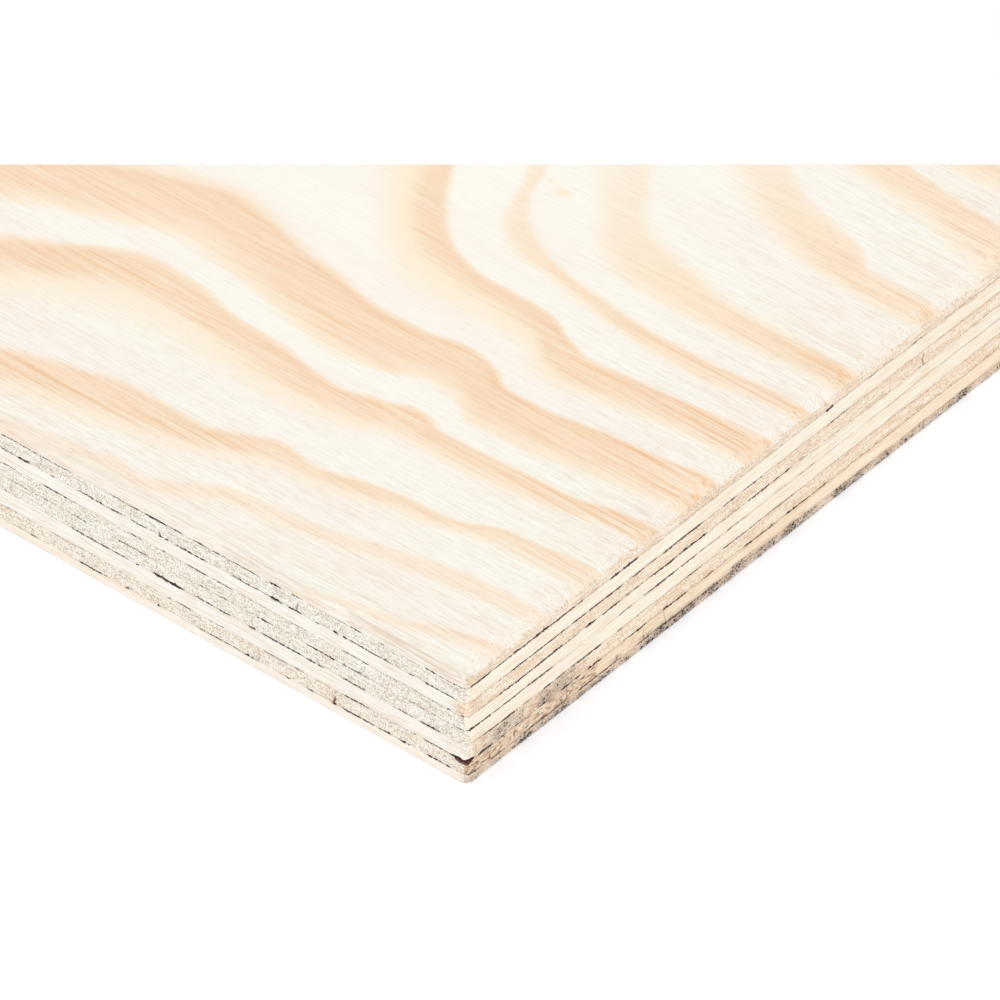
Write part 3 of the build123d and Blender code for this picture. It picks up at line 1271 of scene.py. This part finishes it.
def blend(tree, share, first, second, how="MIX"):
    """Two colours blended by a share."""
    made = tree.nodes.new("ShaderNodeMix")
    made.data_type = "RGBA"
    made.blend_type = how
    feed(tree, made.inputs[0], share)
    feed(tree, made.inputs[6], first)
    feed(tree, made.inputs[7], second)
    return made.outputs[2]


def note(tree, title):
    """A number that was noted on the points of the mesh."""
    made = tree.nodes.new("ShaderNodeAttribute")
    made.attribute_name = title
    return made.outputs["Fac"]


def grain_noise(tree, along, across, grain_along_x, detail=2.0, shift=0.0):
    """A solid noise with features of the two sizes along and across the grain."""
    place = tree.nodes.new("ShaderNodeTexCoord")
    stretch = tree.nodes.new("ShaderNodeMapping")
    sizes = (along, across, across) if grain_along_x else (across, along, across)
    stretch.inputs["Scale"].default_value = [1.0 / size for size in sizes]
    stretch.inputs["Location"].default_value = (shift, shift * 1.7, shift * 2.3)
    made = tree.nodes.new("ShaderNodeTexNoise")
    made.inputs["Scale"].default_value = 1.0
    made.inputs["Detail"].default_value = detail
    tree.links.new(place.outputs["Object"], stretch.inputs["Vector"])
    tree.links.new(stretch.outputs["Vector"], made.inputs["Vector"])
    return made.outputs[0]


print("mid grey, as a shader has it", round(colour(128, 128, 128)[0], 3))

# %% [markdown]
# The finish of every veneer is built up in the same order: fibres, then the cut ends with painted
# shade in their torn pits, then glue with painted shade in its voids, cracks with painted shade in
# the splinter's gap, and dirt over them. The face adds its figure in between.
#
# Fibres come in three sizes, from hairs to broad streaks. One noise with more detail could give
# them all, but then each size could not have its own length and strength.

# %% Fibres
hair_size = (3.2 * mm, 0.1 * mm)
fine_size = (5 * mm, 0.16 * mm)
middle_size = (14 * mm, 0.32 * mm)


def fibre_layer(tree, wood, streak, grain_along_x, depth):
    """Fine streaks along the grain over a plain wood colour."""
    hair = grain_noise(tree, *hair_size, grain_along_x, 0.0, 17.0)
    fine = grain_noise(tree, *fine_size, grain_along_x, 1.0)
    middle = grain_noise(tree, *middle_size, grain_along_x, 2.0, 4.0)
    broad = rise(tree, middle, 0.47, 0.66, 0.0, 0.6)
    streaks = calc(tree, "ADD", rise(tree, fine, 0.46, 0.64, 0.0, 0.8), broad)
    streaks = calc(tree, "ADD", streaks, rise(tree, hair, 0.45, 0.75, 0.0, 1.1))
    share = calc(tree, "MULTIPLY", streaks, depth, clamp=True)
    return blend(tree, share, wood, streak), fine, middle


print("fibres", [round(size[0] / mm, 1) for size in (hair_size, fine_size, middle_size)], "mm long")

# %% [markdown]
# A cut across the grain looks into the ends of the fibres. It is deeper in tone and layered by the
# growth rings, with soft pores and thin broken lines along the rings. The pits that the saw tore get
# painted shade, in the colour of the pores. Where end grain gives way to long grain at a corner, a
# ragged noise breaks the seam up.

# %% Cut ends
dot_size = (3 * mm, 0.18 * mm)
layer_size = (5 * mm, 0.36 * mm)
seam_size = (0.5 * mm, 0.5 * mm)
ring_level = 0.52


def end_layer(tree, under, woods, grain_along_x):
    """The look of a cut across the grain, where the points are noted as end grain."""
    wood, dark, pore = woods
    dots = grain_noise(tree, *dot_size, grain_along_x, 1.0, 9.0)
    layers = grain_noise(tree, *layer_size, not grain_along_x, 2.0, 13.0)
    ragged = grain_noise(tree, *seam_size, True, 2.0, 25.0)
    tone = blend(tree, rise(tree, layers, 0.4, 0.66), wood, dark)
    clumped = calc(tree, "MULTIPLY_ADD", layers, 0.25, dots)
    pores = rise(tree, clumped, 0.58, 0.8, 0.0, 0.62)
    from_ring = calc(tree, "ABSOLUTE", calc(tree, "SUBTRACT", layers, ring_level))
    hairlines = rise(tree, from_ring, 0.0, 0.03, 0.4, 0.0)
    hairlines = calc(tree, "MULTIPLY", hairlines, rise(tree, ragged, 0.4, 0.6))
    # Painted shade in the pits that the saw tore, where a point is noted as torn.
    pit_shade = rise(tree, note(tree, "torn"), 0.3, 1.0, 0.0, 0.4)
    shade = calc(tree, "MAXIMUM", calc(tree, "MAXIMUM", pores, pit_shade), hairlines)
    cut = blend(tree, shade, tone, pore)
    reach = calc(tree, "MULTIPLY_ADD", calc(tree, "SUBTRACT", ragged, 0.5), 0.7, note(tree, "end_grain"))
    return blend(tree, rise(tree, reach, 0.3, 0.7), under, cut)


print("pores", round(dot_size[1] / mm, 2), "mm across")

# %% [markdown]
# The glue itself is only a tenth of a millimetre thick. It could be a thin solid between the
# veneers, but then its breaks would be hard to make. So it is painted on the veneers instead, on
# the points that lie near enough to the joint. The darker it is, the thicker it is too, and its
# darkest, thickest strokes are painted shade of the voids between the veneers as well as glue.

# %% Glue
# Black of the glue lines, which is also painted shade in the voids along them.
glue_and_void_shade_black = colour(48, 38, 35)
glue_brown = colour(92, 66, 52)
thin_glue = 0.04
thick_glue = 0.088
glue_waver = 0.36
bead_size = (0.24 * mm, 0.24 * mm)


def glue_and_void_shade_line(tree, gap, darkness, ragged):
    """Share of black that one glue line, with the painted shade of its voids, gives to the points beside
    it.
    """
    thickness = calc(tree, "MULTIPLY_ADD", darkness, thick_glue, thin_glue)
    distance = calc(tree, "MULTIPLY_ADD", calc(tree, "SUBTRACT", ragged, 0.5), glue_waver, gap)
    outer = calc(tree, "MULTIPLY", thickness, 1.6)
    near = rise(tree, distance, calc(tree, "MULTIPLY", thickness, 0.4), outer, 1.0, 0.0)
    return calc(tree, "MULTIPLY", near, rise(tree, darkness, -0.1, 0.75), clamp=True)


def glue_and_void_shade_layer(tree, under):
    """The glue lines below and above a veneer, black in the middle and brown where they thin out. The black
    is glue and painted shade of voids.
    """
    ragged = grain_noise(tree, *bead_size, True, 2.0, 21.0)
    low = glue_and_void_shade_line(tree, note(tree, "low_gap"), note(tree, "glue_and_void_shade_low"), ragged)
    high = glue_and_void_shade_line(tree, note(tree, "high_gap"), note(tree, "glue_and_void_shade_high"), ragged)
    on_rim = rise(tree, note(tree, "rim"), 0.0, 0.6)
    # Painted shade of voids as well as glue: the black share is laid on beside each joint.
    black = calc(tree, "MULTIPLY", calc(tree, "MAXIMUM", low, high), on_rim)
    glue = blend(tree, rise(tree, black, 0.3, 0.8), glue_brown, glue_and_void_shade_black)
    return blend(tree, black, under, glue)


print("glue lines", thin_glue, "to", thin_glue + thick_glue, "mm on each side of a joint")

# %% [markdown]
# Damp runs along the grain, so a stain is drawn out that way, with dark flecks where it is strong.
# Dirt is a grey film in patches, with grit in it that is thickest where the dirt is.

# %% Stains, cracks and dirt
# Brown of the cracks, also used as painted shade in the splinter's gap.
crack_and_gap_shade_brown = colour(92, 50, 42)
stain_brown = colour(198, 152, 112)
fleck_brown = colour(104, 74, 58)
dirt_film = colour(154, 140, 130)
dirt_speck = colour(68, 60, 60)
long_run = 8 * mm
short_run = 1.5 * mm
run_width = 0.34 * mm
fleck_size = (1.1 * mm, 0.26 * mm)
patch_size = (3 * mm, 3 * mm)
grit_size = (0.44 * mm, 0.26 * mm)


def stain_layer(tree, under, grain_along_x):
    """Brown stains with dark flecks in them."""
    run_length = long_run if grain_along_x else short_run
    runs = grain_noise(tree, run_length, run_width, grain_along_x, 2.0, 51.0)
    flecks = grain_noise(tree, *fleck_size, grain_along_x, 2.0, 57.0)
    stain = note(tree, "stain")
    soaked = calc(tree, "MULTIPLY", stain, rise(tree, runs, 0.38, 0.66, 0.1, 0.75))
    stained = blend(tree, soaked, under, stain_brown)
    flecked = rise(tree, flecks, 0.53, 0.63, 0.0, 0.75)
    flecked = calc(tree, "MULTIPLY", rise(tree, stain, 0.55, 0.9), flecked)
    return blend(tree, flecked, stained, fleck_brown)


def dirt_layer(tree, under):
    """A grey film of dirt and the grit in it."""
    patches = grain_noise(tree, *patch_size, True, 2.0, 37.0)
    grit = grain_noise(tree, *grit_size, False, 2.0, 41.0)
    soil = note(tree, "soil")
    film = calc(tree, "MULTIPLY", soil, rise(tree, patches, 0.3, 0.7, 0.2, 0.82))
    filmed = blend(tree, film, under, dirt_film)
    specks = calc(tree, "MULTIPLY_ADD", grit, 0.65, calc(tree, "MULTIPLY", patches, 0.35))
    rarest = calc(tree, "MULTIPLY_ADD", soil, -0.12, 0.62)
    gritty = rise(tree, specks, rarest, calc(tree, "ADD", rarest, 0.08))
    gritty = calc(tree, "MULTIPLY", gritty, rise(tree, soil, 0.05, 0.5))
    return blend(tree, gritty, filmed, dirt_speck)


def edge_layers(tree, under, grain_along_x):
    """What lies over the wood of a sawn edge: stains, glue with painted shade in its voids, cracks with
    painted shade in the splinter's gap, and dirt.
    """
    glued = glue_and_void_shade_layer(tree, stain_layer(tree, under, grain_along_x))
    # The crack share also holds the painted shade of the splinter's gap.
    cracks = rise(tree, note(tree, "crack"), 0.1, 0.8, 0.0, 0.9)
    return dirt_layer(tree, blend(tree, cracks, glued, crack_and_gap_shade_brown))


print("stains run", round(long_run / mm, 1), "mm along a long edge")

# %% [markdown]
# Bare sawn wood is matt, with hardly any shine. The fine fibres also feed a bump node, so that they
# catch the light a little without more points in the mesh.

# %% Shader
wood_roughness = 0.72
wood_shine = 0.25
fibre_height = 0.06 * mm


def new_finish(name):
    """A new material and its node tree."""
    material = bpy.data.materials.new(name)
    material.use_nodes = True
    return material, material.node_tree


def matt_wood(name, tree, base, height, strength):
    """The shader itself: matt bare wood, with the fibres standing up a little."""
    shader = tree.nodes["Principled BSDF"]
    feed(tree, shader.inputs["Base Color"], base)
    shader.inputs["Roughness"].default_value = wood_roughness
    shader.inputs["Specular IOR Level"].default_value = wood_shine
    relief = tree.nodes.new("ShaderNodeBump")
    relief.inputs["Strength"].default_value = strength
    relief.inputs["Distance"].default_value = fibre_height
    feed(tree, relief.inputs["Height"], height)
    tree.links.new(relief.outputs["Normal"], shader.inputs["Normal"])
    print("finish", name, "with", len(tree.nodes), "nodes")


print("roughness of bare wood", wood_roughness)

# %% [markdown]
# ### The face
#
# The ring map becomes colour here. The share of the way from one ring line to the next runs from 0
# to 1 and then drops back to 0. Late wood starts at one minus its own share and ends in that
# drop, so one side of each band is sharp and the other fades through straw yellow.

# %% Ring lines that fray
late_pale = colour(255, 233, 207)
late_dark = colour(240, 195, 152)
bend_size = (34 * mm, 12 * mm)


def frayed_rings(tree, fine, middle, coarse):
    """The way from one ring line to the next, with the line frayed out along the fibres."""
    bend = grain_noise(tree, *bend_size, True, 1.0, 6.0)
    way = calc(tree, "MULTIPLY_ADD", note(tree, "soft"), 0.5, note(tree, "ring"))
    for pattern, amount in ((fine, 0.05), (middle, 0.08), (coarse, 0.1), (bend, 0.08)):
        way = calc(tree, "MULTIPLY_ADD", calc(tree, "SUBTRACT", pattern, 0.5), amount, way)
    return calc(tree, "FRACT", way)


def late_wood(tree, way, patterns, dark_lines):
    """The colour of the late wood: pale and dark fibres side by side, clearest near the rim."""
    uneven = 0.0
    for pattern, amount in zip(patterns, (1.3, 1.5, 1.3)):
        uneven = calc(tree, "MULTIPLY_ADD", calc(tree, "SUBTRACT", pattern, 0.5), amount, uneven)
    contrast = calc(tree, "MULTIPLY_ADD", note(tree, "worn"), 0.9, 0.28)
    streak = calc(tree, "MULTIPLY_ADD", uneven, contrast, 0.33)
    sharp = rise(tree, note(tree, "soft"), 0.05, 0.15, 1.0, 0.0)
    streak = calc(tree, "MULTIPLY_ADD", rise(tree, way, 0.88, 0.99, 0.0, 0.25), sharp, streak)
    streak = calc(tree, "ADD", streak, dark_lines, clamp=True)
    return blend(tree, streak, late_pale, late_dark)


print("late wood, from pale to dark", np.round(late_pale[:3], 2), np.round(late_dark[:3], 2))

# %% [markdown]
# Near the rim of the sheet, where hands and weather have been, the rings break up into fine lines
# along the grain. Further in they are softer. Short dark dashes of resin lie in the late wood.

# %% Figure
straw_wood = colour(255, 235, 203)
dash_brown = colour(206, 162, 122)
coarse_size = (26 * mm, 0.9 * mm)
line_size = (40 * mm, 0.42 * mm)
dash_size = (2.2 * mm, 0.13 * mm)


def figure_layer(tree, under, fine, middle):
    """The growth rings over the early wood, and how strong the late wood is."""
    coarse = grain_noise(tree, *coarse_size, True, 2.0, 3.0)
    lines = grain_noise(tree, *line_size, True, 1.0, 33.0)
    worn = note(tree, "worn")
    off_rim = rise(tree, note(tree, "rim"), 0.0, 0.6, 1.0, 0.3)
    clear = calc(tree, "MULTIPLY", calc(tree, "MULTIPLY", worn, worn), off_rim)
    dark_lines = calc(tree, "MULTIPLY", clear, rise(tree, lines, 0.54, 0.66, 0.0, 0.5))
    pale_lines = calc(tree, "MULTIPLY", clear, rise(tree, lines, 0.34, 0.45, 0.7, 0.0))
    way = frayed_rings(tree, fine, middle, coarse)
    late = note(tree, "late")
    strength = note(tree, "strength")
    begin = calc(tree, "SUBTRACT", 1.0, late)
    straw = rise(tree, way, calc(tree, "SUBTRACT", begin, note(tree, "fade")), begin)
    dark_start = calc(tree, "MULTIPLY_ADD", late, -0.15, begin)
    dark_start = calc(tree, "MULTIPLY_ADD", note(tree, "fade"), -0.1, dark_start)
    dark_full = calc(tree, "MULTIPLY_ADD", late, 0.42, begin)
    tail = rise(tree, way, 0.0, note(tree, "soft"), 1.0, 0.0)
    body = calc(tree, "MAXIMUM", rise(tree, way, dark_start, dark_full), tail)
    body = calc(tree, "MULTIPLY", body, strength)
    body = calc(tree, "MULTIPLY", body, calc(tree, "SUBTRACT", 1.0, pale_lines))
    straw = calc(tree, "MULTIPLY", calc(tree, "MAXIMUM", straw, tail), rise(tree, strength, 0.0, 0.6))
    straw = calc(tree, "MULTIPLY", straw, calc(tree, "MULTIPLY_ADD", worn, -0.45, 0.88))
    figured = blend(tree, straw, under, straw_wood)
    return blend(tree, body, figured, late_wood(tree, way, (fine, middle, coarse), dark_lines)), body


def dash_layer(tree, under, body):
    """Short dark dashes of resin in the fibres, most of them in the late wood."""
    dashes = grain_noise(tree, *dash_size, True, 0.0, 29.0)
    often = calc(tree, "MULTIPLY_ADD", body, -0.05, 0.75)
    share = rise(tree, dashes, often, calc(tree, "ADD", often, 0.08), 0.0, 0.55)
    return blend(tree, calc(tree, "MULTIPLY", share, note(tree, "worn")), under, dash_brown)


print("dashes", round(dash_size[0] / mm, 1), "mm long")

# %% [markdown]
# The face now goes together from the bottom up. Its early wood changes between cream and a little
# rose, and on the sawn end each ring goes on down through the veneer as a warmer band.

# %% Face finish
early_cream = colour(255, 252, 242)
early_rose = colour(255, 249, 240)
early_shade = colour(238, 222, 202)
face_cut = (colour(253, 241, 224), colour(245, 225, 202), colour(198, 166, 136))
band_cut = colour(245, 211, 176)
tone_size = (40 * mm, 7 * mm)
face_bump = 0.3


def face_finish():
    """The sanded face with its growth rings, and the sawn edges of the two outer veneers."""
    material, tree = new_finish("face_wood_sanded")
    depth = calc(tree, "MULTIPLY_ADD", note(tree, "worn"), 0.47, 0.03)
    tone = grain_noise(tree, *tone_size, True, 1.0, 44.0)
    early_wood = blend(tree, rise(tree, tone, 0.42, 0.58), early_cream, early_rose)
    base, fine, middle = fibre_layer(tree, early_wood, early_shade, True, depth)
    base, body = figure_layer(tree, base, fine, middle)
    base = blend(tree, rise(tree, note(tree, "resin"), 0.02, 0.7, 0.0, 0.8), base, straw_wood)
    base = dash_layer(tree, base, body)
    wood, dark, pore = face_cut
    cut = blend(tree, calc(tree, "MULTIPLY", body, 0.5), wood, band_cut)
    base = end_layer(tree, base, (cut, dark, pore), True)
    base = edge_layers(tree, base, True)
    matt_wood(material.name, tree, base, fine, face_bump)
    return material


face_wood = face_finish()

# %% [markdown]
# ### The plies inside
#
# The plies along the length show pale long grain on the long edges and tan end grain on the ends.
# The plies laid across are the other way round, and their end grain is greyer. The lower crossband
# comes from a warmer log. Six finishes could serve the six plies, but two do, one for each way of
# the grain, and the warm one is told apart by its height in the pile.

# %% Finishes of the inner plies
long_ply = (colour(255, 252, 245), colour(230, 211, 187))
long_ply_cut = (colour(255, 242, 222), colour(248, 225, 198), colour(196, 158, 124))
cross_ply = (colour(254, 248, 232), colour(238, 212, 180))
cross_ply_cut = (colour(255, 252, 243), colour(252, 243, 228), colour(158, 134, 106))
warm_ply = colour(253, 238, 223)
warm_top = 4.6 * mm
warm_fade = 0.5 * mm
ply_depth = 0.42
ply_bump = 0.4


def warm_layer(tree, under):
    """The warmer tone of the lower crossband, the one cross ply that lies below warm_top."""
    place = tree.nodes.new("ShaderNodeTexCoord")
    axes = tree.nodes.new("ShaderNodeSeparateXYZ")
    tree.links.new(place.outputs["Object"], axes.inputs[0])
    warm = rise(tree, axes.outputs["Z"], warm_top - warm_fade, warm_top, 0.6, 0.0)
    warm = calc(tree, "MULTIPLY", warm, rise(tree, note(tree, "end_grain"), 0.3, 0.8, 1.0, 0.4))
    return blend(tree, warm, under, warm_ply, "MULTIPLY")


def ply_finish(name, woods, cut_woods, grain_along_x):
    """The wood of the plies with one direction of grain."""
    material, tree = new_finish(name)
    base, fine, _ = fibre_layer(tree, *woods, grain_along_x, ply_depth)
    base = end_layer(tree, base, cut_woods, grain_along_x)
    if not grain_along_x:
        base = warm_layer(tree, base)
    base = edge_layers(tree, base, grain_along_x)
    matt_wood(material.name, tree, base, fine, ply_bump)
    return material


finishes = {
    "face_wood": face_wood,
    "long_ply_wood": ply_finish("long_ply_sawn", long_ply, long_ply_cut, True),
    "cross_ply_wood": ply_finish("cross_ply_sawn", cross_ply, cross_ply_cut, False),
}

# %% [markdown]
# ## Make the eight veneers
#
# Each veneer is built plain, worn, marked and finished, and then takes the place of its CAD node.
# One loop makes them all, from the bottom up, because they differ only in their heights, their
# grain and what is noted on their points.

# %% Veneers
veneers = ["back_veneer", "lower_crossband", "lower_inner_ply", "lower_centre_ply",
           "upper_centre_ply", "upper_inner_ply", "upper_crossband", "face_veneer"]
slots = {part["node"]: part["material_slot"] for part in frame["record"]["subparts"]}
face_pattern = 400
back_pattern = 450

for number, name in enumerate(veneers):
    low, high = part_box(name)
    mesh = veneer_mesh(name, low.z, high.z)
    places = wear(name, number, mesh, low.z, high.z)
    mark_edges(name, mesh, places)
    if name == "face_veneer":
        draw_figure(mesh, places, True, face_pattern)
    if name == "back_veneer":
        draw_figure(mesh, places, False, back_pattern)
    mesh.materials.append(finishes[slots[name]])
    piece = put_in_scene(name + "_wood", mesh)
    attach(piece, "root")
    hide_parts(name)
    mesh.calc_loop_triangles()
    print(piece.name, len(mesh.vertices), "points", len(mesh.loop_triangles), "triangles")
